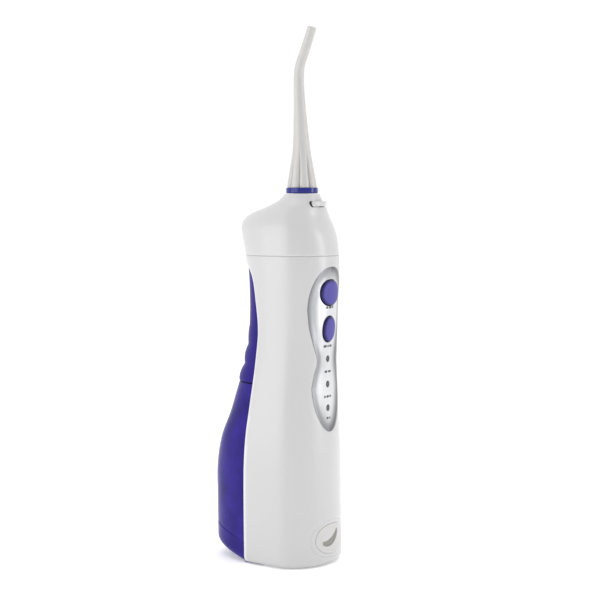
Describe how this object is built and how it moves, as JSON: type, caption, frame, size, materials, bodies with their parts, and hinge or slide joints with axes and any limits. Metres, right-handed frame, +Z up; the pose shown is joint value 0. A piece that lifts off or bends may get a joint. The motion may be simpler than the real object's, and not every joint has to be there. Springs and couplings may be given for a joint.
{
  "type": "water flosser",
  "caption": "Cordless water flosser: white handle with a silver control panel, blue slide-off water tank behind, and a bent frosted nozzle that turns in the neck.",
  "frame": {"origin": "centre of the footprint box, on the surface that the object stands on", "axes": "+Z up along the handle and nozzle, -Y to the control panel, +Y to the water tank, +X to the object's right as seen from behind"},
  "size_m": [0.0522, 0.0726, 0.2894],
  "materials": {
    "white_shell": "satin gloss moulding",
    "silver_panel": "silver metallic lacquer",
    "grip_blue": "satin",
    "tank_blue": "tinted translucent",
    "button_blue": "satin",
    "ring_blue": "gloss",
    "nozzle_frost": "frosted translucent",
    "lens_dark": "smoked window",
    "white_inner": "natural moulding",
    "black_plastic": "matte",
    "soft_rubber": "soft seal",
    "port_silicone": "soft silicone",
    "clear_hose": "silicone hose",
    "steel": "bright",
    "motor_steel": "plated can",
    "brass_gear": "cut brass",
    "nickel": "contact plate",
    "cell_wrap": "heat-shrink sleeve",
    "board_green": "solder mask",
    "led_clear": "clear resin",
    "wire_red": "insulation"
  },
  "bodies": {
    "handle": {"front_housing": "white_shell", "rear_housing": "white_inner", "head_cover": "white_shell", "head_seal": "white_inner", "grip_panel": "grip_blue", "base_cover": "white_shell", "control_panel": "silver_panel", "indicator_lenses": "lens_dark", "charging_jack": "black_plastic", "docking_port": "white_inner", "suction_hose": "clear_hose", "pump_frame": "motor_steel", "motor_can": "motor_steel", "motor_end_bell": "black_plastic", "gear_axle": "steel", "pump_cylinder": "white_inner", "pump_head": "white_inner", "inlet_spring": "steel", "outlet_spring": "steel", "hose_fittings": "white_inner", "pressure_hose": "clear_hose", "outlet_cup": "white_inner", "neck_bushing": "white_inner", "battery_cells": "cell_wrap", "battery_holder": "black_plastic", "battery_contacts": "nickel", "control_board": "board_green", "tact_switches": "black_plastic", "leds": "led_clear", "wiring": "wire_red", "housing_screws": "steel", "drive_screws": "steel", "board_screws": "steel"},
    "power_key": {"power_button": "button_blue", "power_plunger": "black_plastic"},
    "mode_key": {"mode_button": "button_blue", "mode_plunger": "black_plastic"},
    "port_flap": {"port_cover": "port_silicone"},
    "tank": {"water_tank": "tank_blue", "lid_pin": "steel", "tank_outlet": "soft_rubber", "intake_filter": "white_inner"},
    "lid": {"tank_lid": "tank_blue", "lid_seal": "soft_rubber"},
    "rotor": {"motor_shaft": "steel", "drive_pinion": "brass_gear"},
    "crank": {"crank_gear": "white_inner", "crank_pin": "steel"},
    "piston": {"piston_yoke": "white_inner", "piston_head": "white_inner", "piston_seal": "soft_rubber"},
    "inlet_ball": {"inlet_valve": "steel"},
    "outlet_ball": {"outlet_valve": "steel"},
    "seat": {"nozzle_seat": "white_inner"},
    "nozzle": {"nozzle": "nozzle_frost", "nozzle_ring": "ring_blue", "nozzle_o_ring": "soft_rubber"},
    "latch": {"release_button": "white_shell", "latch_plate": "steel", "release_spring": "steel"}
  },
  "joints": [
    {"name": "power_press", "type": "slide", "parent": "handle", "child": "power_key", "axis": [0, 1, 0], "range_m": [0, 0.0006], "stiffness_N_per_m": 1500},
    {"name": "mode_press", "type": "slide", "parent": "handle", "child": "mode_key", "axis": [0, 1, 0], "range_m": [0, 0.0006], "stiffness_N_per_m": 1500},
    {"name": "port_flap_hinge", "type": "hinge", "parent": "handle", "child": "port_flap", "pos_m": [0, -0.0357, 0.0069], "axis": [1, 0, 0], "range_deg": [0, 95]},
    {"name": "tank_slide", "type": "slide", "parent": "handle", "child": "tank", "axis": [0, 1, 0], "range_m": [0, 0.04]},
    {"name": "lid_hinge", "type": "hinge", "parent": "tank", "child": "lid", "pos_m": [0, 0.03249, 0.0636], "axis": [-1, 0, 0], "range_deg": [0, 85]},
    {"name": "crank_spin", "type": "hinge", "parent": "handle", "child": "crank", "pos_m": [0, -0.014, 0.1298], "axis": [0, 1, 0], "continuous": true},
    {"name": "motor_spin", "type": "hinge", "parent": "handle", "child": "rotor", "pos_m": [0, -0.014, 0.113], "axis": [0, 1, 0], "continuous": true},
    {"name": "piston_stroke", "type": "slide", "parent": "handle", "child": "piston", "axis": [0, 0, 1], "range_m": [-0.003, 0.003]},
    {"name": "inlet_valve_lift", "type": "slide", "parent": "handle", "child": "inlet_ball", "axis": [1, 0, 0], "range_m": [0, 0.0004], "stiffness_N_per_m": 40, "deforming": ["inlet_spring"]},
    {"name": "outlet_valve_lift", "type": "slide", "parent": "handle", "child": "outlet_ball", "axis": [1, 0, 0], "range_m": [0, 0.0004], "stiffness_N_per_m": 40, "deforming": ["outlet_spring"]},
    {"name": "nozzle_turn", "type": "hinge", "parent": "handle", "child": "seat", "pos_m": [0, -0.016, 0.19], "axis": [0, 0, 1], "continuous": true},
    {"name": "nozzle_pull", "type": "slide", "parent": "seat", "child": "nozzle", "axis": [0, 0, 1], "range_m": [0, 0.032]},
    {"name": "release_press", "type": "slide", "parent": "handle", "child": "latch", "axis": [0, 1, 0], "range_m": [0, 0.0012], "stiffness_N_per_m": 900, "deforming": ["release_spring"]}
  ],
  "couplings": [
    {"joint": "motor_spin", "follows": "crank_spin", "ratio": -3.6667}
  ]
}
